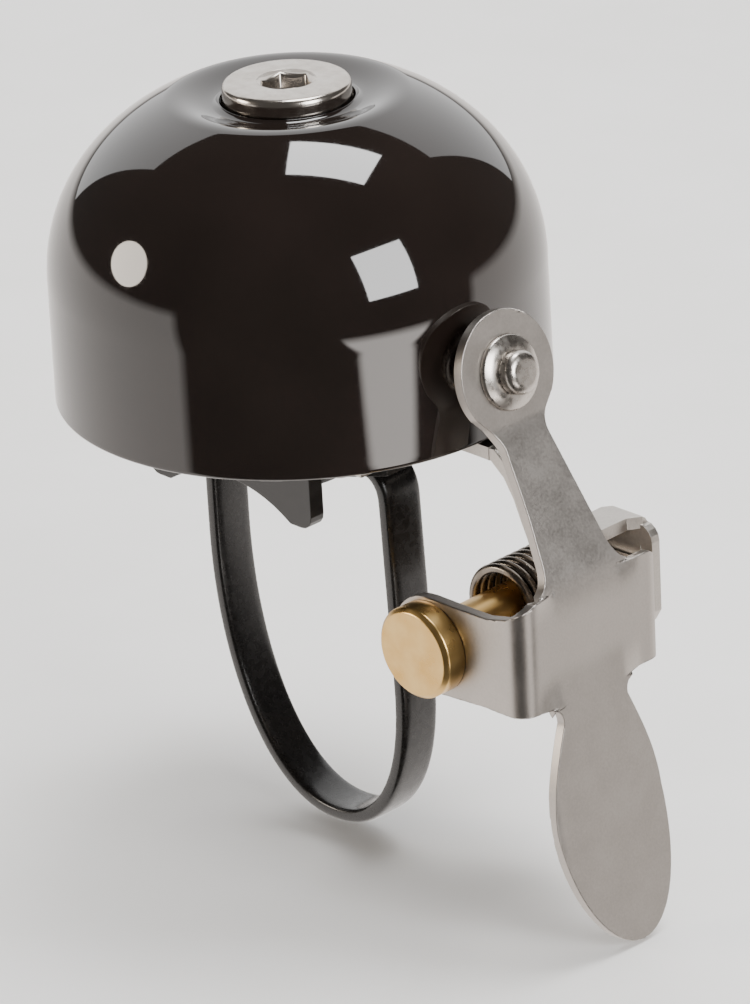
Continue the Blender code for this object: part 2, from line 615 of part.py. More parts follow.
def pivot(brass, zinc):
    """A headed brass pin through the lever's ears and the bracket's ear, with a washer and nut."""
    head_in = BODY_NEAR_Y - SEAT_GAP
    head_out = head_in - PIN_HEAD_H
    washer_y = FIXED_EAR_OUT_Y + SEAT_GAP
    nut_y = washer_y + PIVOT_WASHER_H + SEAT_GAP
    end_y = nut_y + PIVOT_NUT_H + PIN_END
    turned_on_pivot("pivot_pin", [
        (0, head_out), (PIN_HEAD_R - PIN_CHAMFER, head_out), (PIN_HEAD_R, head_out + PIN_CHAMFER),
        (PIN_HEAD_R, head_in), (PIN_R, head_in), (PIN_R, end_y - 0.4), (PIN_R - 0.4, end_y), (0, end_y),
    ], brass)
    washer = ring_profile(EAR_HOLE_R, PIVOT_WASHER_R, washer_y, washer_y + PIVOT_WASHER_H)
    turned_on_pivot("pivot_washer", washer, zinc)
    hexagon = arc(PIVOT, PIVOT_NUT_AF / math.sqrt(3), 30, 330, 5)
    nut = prism("pivot_nut", hexagon, along_y, nut_y, nut_y + PIVOT_NUT_H, zinc)
    bore = turned_on_pivot("pivot_nut_bore", rod_profile(EAR_HOLE_R, nut_y - 1, end_y + 1), zinc)
    combine(nut, "DIFFERENCE", bore)


def torsion_spring(material):
    """A close coil hanging on the pin, with one leg behind the lever's body and one under the ledge."""
    centre_x = PIVOT[0] + COIL_OFFSET[0]
    centre_z = PIVOT[1] + COIL_OFFSET[1]
    start_angle = -90.0
    end_angle = 90.0 + LEG_ANGLE - 360.0 * COIL_FULL_TURNS
    steps = 13 * COIL_FULL_TURNS
    turns = (start_angle - end_angle) / 360
    points = [(LEVER_LEG_X, COIL_START_Y, centre_z - COIL_R)]
    points += [(centre_x + 5, COIL_START_Y, centre_z - COIL_R)]
    for i in range(steps + 1):
        share = i / steps
        angle = math.radians(start_angle + (end_angle - start_angle) * share)
        y = COIL_START_Y + COIL_PITCH * turns * share
        points.append((centre_x + COIL_R * math.cos(angle), y, centre_z + COIL_R * math.sin(angle)))
    lean = math.radians(LEG_ANGLE)
    last = points[-1]
    points.append((last[0] + BRACKET_LEG * math.cos(lean), last[1], last[2] + BRACKET_LEG * math.sin(lean)))
    curve = bpy.data.curves.new("torsion_spring", "CURVE")
    curve.dimensions = "3D"
    curve.bevel_depth = WIRE_R * MM
    curve.bevel_resolution = 1
    curve.use_fill_caps = True
    spline = curve.splines.new("POLY")
    spline.points.add(len(points) - 1)
    for point, (x, y, z) in zip(spline.points, points):
        point.co = (x * MM, y * MM, (z + RIM_HEIGHT) * MM, 1.0)
    curve.materials.append(material)
    bpy.context.scene.collection.objects.link(bpy.data.objects.new("torsion_spring", curve))


def build():
    clear_scene()
    gloss_black = finish("gloss_black_lacquer", (0.012, 0.009, 0.008), 0.0, 0.08)
    coated = finish("black_vinyl_coat", (0.015, 0.014, 0.014), 0.0, 0.25)
    nylon = finish("black_nylon", (0.02, 0.02, 0.02), 0.0, 0.5)
    nickel = finish("nickel_plate", (0.66, 0.63, 0.60), 1.0, 0.15)
    stainless = finish("stainless_sheet", (0.55, 0.53, 0.51), 1.0, 0.35)
    turned_steel = finish("turned_steel", (0.60, 0.58, 0.56), 1.0, 0.25)
    spring_steel = finish("spring_steel", (0.30, 0.27, 0.25), 1.0, 0.25)
    zinc = finish("zinc_plate", (0.60, 0.61, 0.62), 1.0, 0.35)
    brass = finish("turned_brass", (0.78, 0.57, 0.25), 1.0, 0.22)
    dome(gloss_black)
    clamp_stack(nickel, nylon, zinc)
    support_bridge(zinc)
    clamp_band(coated, zinc, turned_steel)
    striker_bracket(stainless)
    saddle(coated)
    pivot(brass, zinc)
    torsion_spring(spring_steel)
    lever_pieces = striker_lever(stainless) + hammer(turned_steel, turned_steel)
    hang_on(joint_empty("lever_pivot", *PIVOT), lever_pieces)


build()
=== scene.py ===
import math

import bmesh
import bpy
import numpy as np
from mathutils import Matrix, Vector


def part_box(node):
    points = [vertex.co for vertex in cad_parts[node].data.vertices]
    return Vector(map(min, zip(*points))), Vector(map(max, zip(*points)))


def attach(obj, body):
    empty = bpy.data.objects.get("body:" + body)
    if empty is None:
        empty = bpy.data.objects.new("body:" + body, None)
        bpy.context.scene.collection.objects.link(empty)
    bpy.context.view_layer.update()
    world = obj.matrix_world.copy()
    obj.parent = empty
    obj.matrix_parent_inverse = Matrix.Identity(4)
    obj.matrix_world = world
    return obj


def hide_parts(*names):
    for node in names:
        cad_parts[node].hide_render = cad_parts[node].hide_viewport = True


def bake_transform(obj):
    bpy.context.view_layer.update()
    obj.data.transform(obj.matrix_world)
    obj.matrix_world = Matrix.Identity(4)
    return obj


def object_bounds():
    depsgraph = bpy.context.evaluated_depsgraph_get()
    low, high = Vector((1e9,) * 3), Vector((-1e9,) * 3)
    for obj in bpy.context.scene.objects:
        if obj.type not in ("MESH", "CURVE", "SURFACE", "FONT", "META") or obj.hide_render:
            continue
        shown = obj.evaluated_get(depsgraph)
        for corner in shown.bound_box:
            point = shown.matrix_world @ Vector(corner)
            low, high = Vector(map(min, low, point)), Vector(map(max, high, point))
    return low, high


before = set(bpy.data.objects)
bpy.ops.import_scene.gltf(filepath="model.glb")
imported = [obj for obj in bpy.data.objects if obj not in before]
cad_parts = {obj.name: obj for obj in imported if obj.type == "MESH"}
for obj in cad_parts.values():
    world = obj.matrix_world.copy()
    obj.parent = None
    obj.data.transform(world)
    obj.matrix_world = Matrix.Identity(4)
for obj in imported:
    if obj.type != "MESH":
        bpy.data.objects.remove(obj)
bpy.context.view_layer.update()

# Bell dome. A pressed and turned brass shell, 45 mm across, with a straight skirt, a rounded crown
# and a dimple for the screw's head. It is dipped in a black-brown gloss lacquer, and it is clamped
# through its middle.
RIM_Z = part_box("bell_dome")[0][2]
DOME_R = 22.5
SKIRT_TOP_R = 22.38
SKIRT_H = 11.36
CROWN_H = 18.28
CROWN_POWER = 2.08
DIMPLE_R = 6.0
DIMPLE_SINK = 2.1
DIMPLE_FLOOR_Z = 25.6
DOME_HOLE_R = 3.2
DOME_WALL = 1.4


def linear(code):
    """An sRGB hex colour as linear RGBA: each channel c becomes ((c + 0.055) / 1.055) to the power 2.4,
    or c / 12.92 below 0.04045."""
    channels = np.array([int(code[i:i + 2], 16) / 255 for i in (1, 3, 5)])
    curved = ((channels + 0.055) / 1.055) ** 2.4
    return (*np.where(channels > 0.04045, curved, channels / 12.92).tolist(), 1.0)


def node(tree, kind, links=(), **settings):
    """Adds a node. Settings that name a property set it, others set the input of that name with
    underscores for spaces, and links are (input name or number, socket) pairs."""
    made = tree.nodes.new(kind)
    for name, value in settings.items():
        if hasattr(made, name):
            setattr(made, name, value)
        else:
            made.inputs[name.replace("_", " ")].default_value = value
    for name, socket in links:
        tree.links.new(socket, made.inputs[name])
    return made


def finish_of(name, **sockets):
    """A material with one Principled shader, its uniform values set on the shader's own sockets."""
    material = bpy.data.materials.new(name)
    material.use_nodes = True
    shader = material.node_tree.nodes["Principled BSDF"]
    for socket, value in sockets.items():
        shader.inputs[socket.replace("_", " ")].default_value = value
    return material, material.node_tree, shader


def object_noise(tree, scale, stretch=(1.0, 1.0, 1.0), detail=3.0):
    """Noise on object coordinates: scale is features per metre, stretch multiplies each axis first."""
    place = node(tree, "ShaderNodeTexCoord")
    mapped = node(tree, "ShaderNodeMapping", [("Vector", place.outputs["Object"])])
    mapped.inputs["Scale"].default_value = stretch
    return node(tree, "ShaderNodeTexNoise", [("Vector", mapped.outputs["Vector"])],
                Scale=scale, Detail=detail)


def spread(tree, value, low, high, from_low=0.3, from_high=0.7):
    """Maps a value from one range to another in a straight line, held at both ends."""
    return node(tree, "ShaderNodeMapRange", [("Value", value)], From_Min=from_low, From_Max=from_high,
                To_Min=low, To_Max=high).outputs["Result"]


def two_colours(tree, share, first, second):
    """A colour part way between two, by share."""
    mixed = node(tree, "ShaderNodeMix", [(0, share)], data_type="RGBA")
    mixed.inputs[6].default_value = linear(first)
    mixed.inputs[7].default_value = linear(second)
    return mixed.outputs[2]


def bumped(tree, shader, height, distance, strength=1.0):
    """Bends the shader's normal by a height, in metres of depth."""
    bump = node(tree, "ShaderNodeBump", [("Height", height)], Strength=strength, Distance=distance)
    tree.links.new(bump.outputs["Normal"], shader.inputs["Normal"])


def grid_faces(rows, columns, wrap_rows=False, wrap_columns=False):
    """Quads of a grid of points numbered row by row: cell (i, j) joins (i, j), (i, j+1), (i+1, j+1)
    and (i+1, j), with the last row or column joined to the first where it wraps."""
    i, j = np.meshgrid(np.arange(rows if wrap_rows else rows - 1),
                       np.arange(columns if wrap_columns else columns - 1), indexing="ij")
    up, across = (i + 1) % rows, (j + 1) % columns
    cells = [i * columns + j, i * columns + across, up * columns + across, up * columns + j]
    return np.stack(cells, axis=-1).reshape(-1, 4)


def mesh_piece(name, points, faces, body, replaced, materials, merge=2e-7):
    """A piece at the origin from points in metres, with points nearer than merge joined and faces outward: a
    closed mesh whose signed volume, a sixth of the sum of v0 . (v1 x v2), is below zero is turned."""
    mesh = bpy.data.meshes.new(name)
    mesh.from_pydata(np.asarray(points).tolist(), [], np.asarray(faces).tolist())
    shape = bmesh.new()
    shape.from_mesh(mesh)
    bmesh.ops.remove_doubles(shape, verts=shape.verts, dist=merge)
    closed = all(len(edge.link_faces) == 2 for edge in shape.edges)
    if closed and shape.calc_volume(signed=True) < 0:
        bmesh.ops.reverse_faces(shape, faces=shape.faces)
    shape.to_mesh(mesh)
    shape.free()
    mesh.shade_smooth()
    for material in materials:
        mesh.materials.append(material)
    piece = bpy.data.objects.new(name, mesh)
    bpy.context.scene.collection.objects.link(piece)
    if body:
        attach(piece, body)
    if replaced:
        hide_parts(*replaced)
    return piece


def rounded(profile, reaches, steps=6):
    """A profile of (radius, height) corners, each drawn as a curve that starts and ends at its reach
    from the corner, or at 0.49 of a shorter side: (1-t)^2 start + 2t(1-t) corner + t^2 end."""
    corners = np.array(profile, float)
    before, after = np.roll(corners, 1, 0) - corners, np.roll(corners, -1, 0) - corners
    reach_before, reach_after = np.linalg.norm(before, axis=1), np.linalg.norm(after, axis=1)
    reach = np.minimum(np.array(reaches, float), 0.49 * np.minimum(reach_before, reach_after))
    start = corners + before / reach_before[:, None] * reach[:, None]
    end = corners + after / reach_after[:, None] * reach[:, None]
    t = np.linspace(0, 1, steps)[None, :, None]
    arcs = (1 - t) ** 2 * start[:, None] + 2 * t * (1 - t) * corners[:, None] + t ** 2 * end[:, None]
    return arcs.reshape(-1, 2)


def turned_points(profile, steps):
    """Rings around an axis: point (i, j) is (r_i cos a_j, r_i sin a_j, h_i)."""
    angle = np.linspace(0, 2 * np.pi, steps, endpoint=False)
    r, h = np.asarray(profile, float).T
    return np.stack([np.outer(r, np.cos(angle)), np.outer(r, np.sin(angle)),
                     np.outer(h, np.ones(steps))], axis=-1).reshape(-1, 3)


def over_rim(points):
    """Millimetres over the rim's plane to metres in the frame."""
    return np.asarray(points) * 0.001 + (0, 0, RIM_Z)


def crown(angle, inset):
    """Radius and height on the crown: a superellipse, (R cos^(2/p), H sin^(2/p)), sunk towards the
    middle by DIMPLE_SINK times one less a smooth step of the radius from 6 to 11 mm."""
    radius = (SKIRT_TOP_R - inset) * np.cos(angle) ** (2 / CROWN_POWER)
    height = SKIRT_H + (CROWN_H - inset) * np.sin(angle) ** (2 / CROWN_POWER)
    share = np.clip((radius - 6) / 5, 0, 1)
    return np.stack([radius, height - DIMPLE_SINK * (1 - share ** 2 * (3 - 2 * share))], axis=-1)


outer_angles = np.radians(np.concatenate([np.linspace(0.6, 60, 60), np.linspace(60.6, 73.6, 40)]))
inner_angles = np.radians(np.linspace(62, 1, 50))
lip = np.linspace(-90, 90, 9) * math.pi / 180
rim = np.stack([DOME_R - DOME_WALL / 2 + DOME_WALL / 2 * np.sin(lip),
                0.35 - 0.35 * np.cos(lip)], axis=-1)
skirt = np.stack([np.linspace(DOME_R, SKIRT_TOP_R, 24), np.linspace(0.5, SKIRT_H, 24)], axis=-1)
recess = rounded([(DIMPLE_R + 0.05, DIMPLE_FLOOR_Z + 1.75), (DIMPLE_R - 0.1, DIMPLE_FLOOR_Z),
                  (DOME_HOLE_R, DIMPLE_FLOOR_Z), (DOME_HOLE_R, DIMPLE_FLOOR_Z - DOME_WALL),
                  (DIMPLE_R + DOME_WALL, DIMPLE_FLOOR_Z - DOME_WALL)], [0.25, 0.4, 0.05, 0.05, 0.3])
inside = np.stack([np.linspace(SKIRT_TOP_R, DOME_R, 12) - DOME_WALL, np.linspace(SKIRT_H, 0.4, 12)],
                  axis=-1)
dome_profile = np.concatenate([rim, skirt, crown(outer_angles, 0), recess,
                               crown(inner_angles, DOME_WALL), inside])

# Lacquered brass: wet-looking black with a brown cast, as smooth as the dipped coat leaves it, with
# a faint slow ripple and a few dust specks that only show beside a reflection.
lacquer, tree, shader = finish_of("black_brown_dipped_lacquer", Roughness=0.045, IOR=1.62,
                                  Coat_Weight=0.35, Coat_Roughness=0.02)
ripple = object_noise(tree, 90, detail=1.0)
specks = object_noise(tree, 2600, detail=2.0)
tree.links.new(two_colours(tree, spread(tree, ripple.outputs["Fac"], 0, 1), "#17110E", "#1E1714"),
               shader.inputs["Base Color"])
tree.links.new(spread(tree, specks.outputs["Fac"], 0.04, 0.075, 0.5, 0.75), shader.inputs["Roughness"])
bumped(tree, shader, ripple.outputs["Fac"], 0.000012, 0.35)

mesh_piece("bell_shell", over_rim(turned_points(dome_profile, 160)),
           grid_faces(len(dome_profile), 160, True, True), "base", ["bell_dome"],
           [lacquer])

# Clamp screw. A turned steel screw with a flat cheese head, a chamfered hexagon socket and a bright
# nickel plate. It pulls the clamp block up inside the dome when it is turned.
HEAD_R = 5.75
HEAD_Z = 26.4
HEAD_TOP_Z = 28.85
SHANK_R = 2.4
SHANK_END_Z = -5.7
SOCKET_AF = 4.0
SOCKET_MOUTH_R = 2.62
SOCKET_DEPTH = 1.6


def socket_rings(steps):
    """Rings from the mouth down into a hexagon socket. The hexagon's reach at angle a is half its
    width over cos(a folded into -30 to 30 degrees), and the 45 degree chamfer meets it at a depth
    equal to the mouth's radius less that reach."""
    angle = np.linspace(0, 2 * np.pi, steps, endpoint=False)
    folded = (angle + np.pi / 6) % (np.pi / 3) - np.pi / 6
    reach = SOCKET_AF / 2 / np.cos(folded)
    depth = SOCKET_MOUTH_R - reach
    ones = np.ones(steps)
    r = np.stack([ones * SOCKET_MOUTH_R, reach + 0.03, reach, reach, reach - 0.05, reach * 0.5, ones * 0])
    z = np.stack([ones * 0, depth - 0.03, depth + 0.03, ones * SOCKET_DEPTH - 0.05,
                  ones * SOCKET_DEPTH, ones * SOCKET_DEPTH + 0.25, ones * SOCKET_DEPTH + 0.35])
    return np.stack([r * np.cos(angle), r * np.sin(angle), HEAD_TOP_Z - z], axis=-1).reshape(-1, 3)


head_profile = rounded([(0, SHANK_END_Z), (SHANK_R - 0.4, SHANK_END_Z), (SHANK_R, SHANK_END_Z + 0.5),
                        (SHANK_R, HEAD_Z), (HEAD_R, HEAD_Z), (HEAD_R, HEAD_TOP_Z),
                        (SOCKET_MOUTH_R + 0.02, HEAD_TOP_Z)], [0, 0.1, 0.1, 0.05, 0.3, 0.75, 0.05], 8)[7:]
screw_points = np.concatenate([turned_points(head_profile, 144), socket_rings(144)])

# Nickel plate over turned steel: bright, warm white, with the fine rings of the lathe on its top.
nickel, tree, shader = finish_of("bright_nickel_on_turned_steel", Metallic=1.0)
place = node(tree, "ShaderNodeTexCoord")
rings = node(tree, "ShaderNodeTexWave", [("Vector", place.outputs["Object"])], wave_type="RINGS",
             rings_direction="Z", Scale=420.0, Distortion=1.5, Detail=2.0)
wear = object_noise(tree, 900)
tree.links.new(two_colours(tree, spread(tree, wear.outputs["Fac"], 0, 1), "#D9D2CA", "#C6BEB5"),
               shader.inputs["Base Color"])
tree.links.new(spread(tree, wear.outputs["Fac"], 0.14, 0.26), shader.inputs["Roughness"])
bumped(tree, shader, rings.outputs["Fac"], 0.000006, 0.5)

mesh_piece("clamp_screw", over_rim(screw_points),
           grid_faces(len(screw_points) // 144, 144, False, True), "screw",
           ["top_screw"], [nickel])

# Bush and washer. Black nylon turnings that keep the dome off the screw and the post, so that it
# rings. Only the flange shows, as a dark ring in the dimple.
nylon, tree, shader = finish_of("black_turned_nylon", IOR=1.53)
grain = object_noise(tree, 2200)
tree.links.new(two_colours(tree, spread(tree, grain.outputs["Fac"], 0, 1), "#1A1817", "#272423"),
               shader.inputs["Base Color"])
tree.links.new(spread(tree, grain.outputs["Fac"], 0.4, 0.55), shader.inputs["Roughness"])
bumped(tree, shader, grain.outputs["Fac"], 0.00001, 0.5)


def dress(names, material, edge):
    """Gives CAD nodes a material and softens their edges: their loose triangles are welded, and edges
    that turn more than 30 degrees get a round of that many millimetres."""
    for name in names:
        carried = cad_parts[name]
        carried.data.materials.clear()
        carried.data.materials.append(material)
        weld = carried.modifiers.new("weld", "WELD")
        weld.merge_threshold = 1e-6
        soften = carried.modifiers.new("softened_edges", "BEVEL")
        soften.width = edge * 0.001
        soften.segments = 2
        soften.limit_method = "ANGLE"
        soften.angle_limit = math.radians(30)
        soften.harden_normals = True


dress(["dimple_bush", "under_dome_washer"], nylon, 0.1)

# Post and stirrup. Zinc-plated steel that carries the dome over the block's travel, hidden inside
# the dome, with the pale grey spangle of barrel plating.
zinc, tree, shader = finish_of("barrel_zinc_plate", Metallic=1.0)
spangle = object_noise(tree, 1500)
tree.links.new(two_colours(tree, spread(tree, spangle.outputs["Fac"], 0, 1), "#B9BBBD", "#989A9C"),
               shader.inputs["Base Color"])
tree.links.new(spread(tree, spangle.outputs["Fac"], 0.28, 0.45), shader.inputs["Roughness"])
bumped(tree, shader, spangle.outputs["Fac"], 0.00001, 0.4)
dress(["centre_post", "support_bridge", "clamp_block"], zinc, 0.15)

# Rivets. Two turned steel rivets through the lapped ends of the band and the block. Their heads are
# bright with a faint unevenness that the rivet set leaves.
rivet_steel, tree, shader = finish_of("turned_steel_rivet", Metallic=1.0)
turning = object_noise(tree, 1800)
tree.links.new(two_colours(tree, spread(tree, turning.outputs["Fac"], 0, 1), "#B5B0AA", "#918C87"),
               shader.inputs["Base Color"])
tree.links.new(spread(tree, turning.outputs["Fac"], 0.25, 0.4), shader.inputs["Roughness"])
dress(["band_rivet_left", "band_rivet_right"], rivet_steel, 0.05)

# Clamp band. A sprung steel strip in a thick black dipped coat, bent once round the bar. Its coat
# rounds every edge, and it shines with a slightly uneven, rubbery gloss.
BAND_WIDTH = 4.4
BAND_T = 1.45
BAND_UPPER_Z = -5.325
BAND_LOWER_Z = -6.825
BAND_LEFT_X = -11.5
BAND_RIGHT_X = 12.3
BAND_RIGHT_TOP_X = 11.5
BAND_BOTTOM = (2.3, -42.2)
BAND_SIDE_Z = (-17.0, -27.0)
BAND_POWER = (2.08, 2.3)
BAND_SHOULDER_R = 2.6
LUG_X = 5.2
LUG_HALF_Y = 4.0


def quarter(side_x, side_z, power, count):
    """A superellipse's quarter from the straight side down to the lowest point."""
    angle = np.linspace(0, np.pi / 2, count)
    return np.stack([BAND_BOTTOM[0] + (side_x - BAND_BOTTOM[0]) * np.cos(angle) ** (2 / power),
                     side_z + (BAND_BOTTOM[1] - side_z) * np.sin(angle) ** (2 / power)], axis=-1)


def bend(centre, radius, start, end, count):
    """Points on a circle from one angle to another, in degrees."""
    angle = np.radians(np.linspace(start, end, count))
    return np.stack([centre[0] + radius * np.cos(angle), centre[1] + radius * np.sin(angle)], axis=-1)


def evenly(path, step):
    """The path's points at even steps of its length, by straight lines between the given ones."""
    length = np.concatenate([[0], np.cumsum(np.linalg.norm(np.diff(path, axis=0), axis=1))])
    at = np.linspace(0, length[-1], int(length[-1] / step) + 1)
    return np.stack([np.interp(at, length, path[:, k]) for k in range(path.shape[1])], axis=-1)


def averaged(values, reach):
    """Each value becomes the mean of its neighbours within reach, the ends held."""
    padded = np.pad(values, reach, mode="reflect", reflect_type="odd")
    return np.convolve(padded, np.ones(2 * reach + 1) / (2 * reach + 1), mode="valid")


band_path = np.concatenate([
    [(LUG_X, BAND_LOWER_Z), (-LUG_X, BAND_LOWER_Z)],
    bend((BAND_LEFT_X + BAND_SHOULDER_R, BAND_LOWER_Z - BAND_SHOULDER_R), BAND_SHOULDER_R, 90, 180, 14),
    quarter(BAND_LEFT_X, BAND_SIDE_Z[0], BAND_POWER[0], 60),
    quarter(BAND_RIGHT_X, BAND_SIDE_Z[1], BAND_POWER[1], 60)[::-1][1:],
    bend((BAND_RIGHT_TOP_X - BAND_SHOULDER_R, BAND_UPPER_Z - BAND_SHOULDER_R), BAND_SHOULDER_R, 0, 90, 14),
    [(LUG_X, BAND_UPPER_Z), (-LUG_X, BAND_UPPER_Z)]])
band_path = evenly(band_path, 0.4)
band_path = np.stack([averaged(band_path[:, 0], 2), averaged(band_path[:, 1], 2)], axis=-1)
along = np.gradient(band_path, axis=0)
along /= np.linalg.norm(along, axis=1)[:, None]
from_end = np.minimum(np.arange(len(band_path)), np.arange(len(band_path))[::-1]) * 0.4
widening = np.clip((2 * LUG_X + 1.6 - from_end) / 1.6, 0, 1)
half_width = BAND_WIDTH / 2 + (LUG_HALF_Y - BAND_WIDTH / 2) * widening ** 2 * (3 - 2 * widening)

# The strip's section is a superellipse-cornered rectangle: y = w sgn(c)|c|^0.35, n = t sgn(s)|s|^0.5.
around = np.linspace(0, 2 * np.pi, 36, endpoint=False)
flat = np.sign(np.cos(around)) * np.abs(np.cos(around)) ** 0.35
thick = np.sign(np.sin(around)) * np.abs(np.sin(around)) ** 0.5 * BAND_T / 2
band_points = np.stack([
    band_path[:, 0, None] - along[:, 1, None] * thick,
    half_width[:, None] * flat,
    band_path[:, 1, None] + along[:, 0, None] * thick], axis=-1)
ends = band_points[[0, -1]].mean(axis=1, keepdims=True).repeat(36, axis=1)
band_points = np.concatenate([ends[:1], band_points, ends[1:]])

# Dipped vinyl: near-black, with slow swells about 4 mm apart where the dip ran, and a soft gloss that
# scuffs make uneven.
coat, tree, shader = finish_of("black_dipped_vinyl", IOR=1.5, Coat_Weight=0.15, Coat_Roughness=0.12)
swell = object_noise(tree, 260, detail=2.0)
scuff = object_noise(tree, 1400)
tree.links.new(two_colours(tree, spread(tree, swell.outputs["Fac"], 0, 1), "#141211", "#201D1B"),
               shader.inputs["Base Color"])
tree.links.new(spread(tree, scuff.outputs["Fac"], 0.2, 0.34), shader.inputs["Roughness"])
bumped(tree, shader, swell.outputs["Fac"], 0.00004, 0.5)

mesh_piece("bar_strap", over_rim(band_points.reshape(-1, 3)),
           grid_faces(len(band_points), 36, False, True), "band", ["clamp_band"],
           [coat])

# Saddle. A moulded glass-filled nylon frame with two cheeks that are cut to the bar, gloss black with
# softly rounded edges.
moulded, tree, shader = finish_of("gloss_moulded_nylon", IOR=1.53)
flow = object_noise(tree, 500, (1.0, 1.0, 2.5))
tree.links.new(two_colours(tree, spread(tree, flow.outputs["Fac"], 0, 1), "#151312", "#221F1D"),
               shader.inputs["Base Color"])
tree.links.new(spread(tree, flow.outputs["Fac"], 0.16, 0.28), shader.inputs["Roughness"])
bumped(tree, shader, flow.outputs["Fac"], 0.00002, 0.4)
dress(["saddle"], moulded, 0.45)

# Striker bracket. Stainless sheet folded out from under the dome: a window frame, a sloping arm, a
# ledge and the fixed pivot ear, tumbled to a satin grey with bright worn edges.


def tumbled_steel(name, dark, bright, low, high):
    """Tumbled stainless sheet: satin grey, with a soft cloud of lighter and darker patches and a fine
    grain from the tumbling stones."""
    material, tree, shader = finish_of(name, Metallic=1.0)
    cloud = object_noise(tree, 330, detail=4.0)
    grain = object_noise(tree, 4200, detail=2.0)
    blended = node(tree, "ShaderNodeMath", [(0, cloud.outputs["Fac"]), (1, grain.outputs["Fac"])],
                   operation="ADD")
    shade = two_colours(tree, spread(tree, blended.outputs[0], 0, 1, 0.75, 1.25), dark, bright)
    tree.links.new(shade, shader.inputs["Base Color"])
    tree.links.new(spread(tree, blended.outputs[0], low, high, 0.75, 1.25), shader.inputs["Roughness"])
    bumped(tree, shader, grain.outputs["Fac"], 0.000012, 0.5)
    return material


bracket_steel = tumbled_steel("tumbled_stainless_bracket", "#BEB8B1", "#CCC6BF", 0.3, 0.38)
dress(["striker_bracket"], bracket_steel, 0.35)

# Striker lever. One stainless blank: the hammer's disc, a tapering arm, a body folded back into two
# pivot ears, and a thumb tab like a leaf, tumbled until its edges are round and bright.
SHEET_T = 1.0
DISC_R = 5.54
DISC_TILT = math.radians(13.9)
DISC_CENTRE = np.array([25.93, 7.70])
ARM_LINE = [(27.7, 2.3), (31.0, -3.4), (33.9, -8.9), (34.4, -10.8)]
ARM_TAPER_Z = [-2.9, 3.4, 8.4]
ARM_TAPER_HALF = [2.6, 3.35, 4.15]
BODY_X = 34.5
BODY_TOP_Z = -9.6
BODY_LOW_Z = -20.2
NEAR_Y, NEAR_R = -8.44, 1.9
FAR_Y, FAR_R = 9.1, 1.2
PIVOT = np.array([23.4, -16.1])
EAR_R = 4.6
EAR_TOP_Z = PIVOT[1] + EAR_R
PIN_HOLE_R = 2.4
TAB_START = np.array([34.57, -17.8])
TAB_TOP = np.array([34.8, -19.2])
TAB_TIP = np.array([38.8, -43.9])
ROOT_FILLET = 2.4
NECK_FILLET = 1.3


def on_disc(along_disc, out):
    """A point in the plane of X and Z: up the tilted disc from its centre, and out of its front."""
    s, c = math.sin(DISC_TILT), math.cos(DISC_TILT)
    return np.stack([DISC_CENTRE[0] + out * c - along_disc * s,
                     DISC_CENTRE[1] + out * s + along_disc * c], axis=-1)


def fillet(distance, radius):
    """How far a round corner of that radius stands out of the edge, at a distance from the face it
    runs into: r - sqrt(r^2 - (r - d)^2) for d below r, else nothing."""
    short = np.clip(radius - distance, 0, radius)
    return radius - np.sqrt(radius ** 2 - short ** 2)


# The front line runs down the disc, the arm, the body and the tab, and each row of the sheet has a
# height on it.
line = np.concatenate([on_disc(np.linspace(DISC_R, -4.9, 60), np.zeros(60)), ARM_LINE,
                       [(BODY_X, -12.0), (BODY_X, -17.2), TAB_START, TAB_TOP, TAB_TIP]])
fine_z = np.linspace(line[0, 1], line[-1, 1], 1200)
fine_x = averaged(np.interp(-fine_z, -line[:, 1], line[:, 0]), 14)

disc_rows = on_disc(DISC_R * np.cos(np.radians(np.linspace(1, 152, 76))), np.zeros(76))[:, 1]
body_rows = np.concatenate([np.linspace(BODY_TOP_Z, -11.45, 12), [EAR_TOP_Z + 0.02],
                            EAR_TOP_Z - (BODY_LOW_Z - EAR_TOP_Z) * -0.5
                            * (1 - np.cos(np.linspace(0.12, np.pi, 34)))])
tab_share = np.concatenate([np.linspace(0.0425, 0.09, 12), np.linspace(0.1, 0.72, 50),
                            0.72 + 0.28 * np.sin(np.linspace(0.04, np.pi / 2, 40))])
tab_rows = TAB_TOP[1] + (TAB_TIP[1] - TAB_TOP[1]) * tab_share
arm_rows = np.linspace(disc_rows[-1] - 0.2, BODY_TOP_Z + 0.02, 46)
z_rows = np.concatenate([disc_rows, arm_rows, body_rows, tab_rows])
x_rows = np.interp(-z_rows, -fine_z, fine_x)

# Half widths of the disc and arm: the greater of the circle's chord and the arm's taper, averaged
# along the arm so that the neck is a smooth hollow curve.
up_disc = (fine_z - DISC_CENTRE[1]) / math.cos(DISC_TILT)
chord = np.sqrt(np.clip(DISC_R ** 2 - up_disc ** 2, 0, None))
taper = np.interp(-fine_z, ARM_TAPER_Z, ARM_TAPER_HALF)
waist = averaged(np.where(up_disc > -4.0, np.maximum(chord, 2.5), np.maximum(chord, taper)), 24)
neck_half = np.where(up_disc > -4.4, np.minimum(chord + 0.02, waist), waist)
blade_half = np.where(up_disc > -3.2, chord, neck_half)
blade = np.interp(-z_rows, -fine_z, blade_half) + 0.85 * fillet(z_rows - BODY_TOP_Z, ROOT_FILLET)

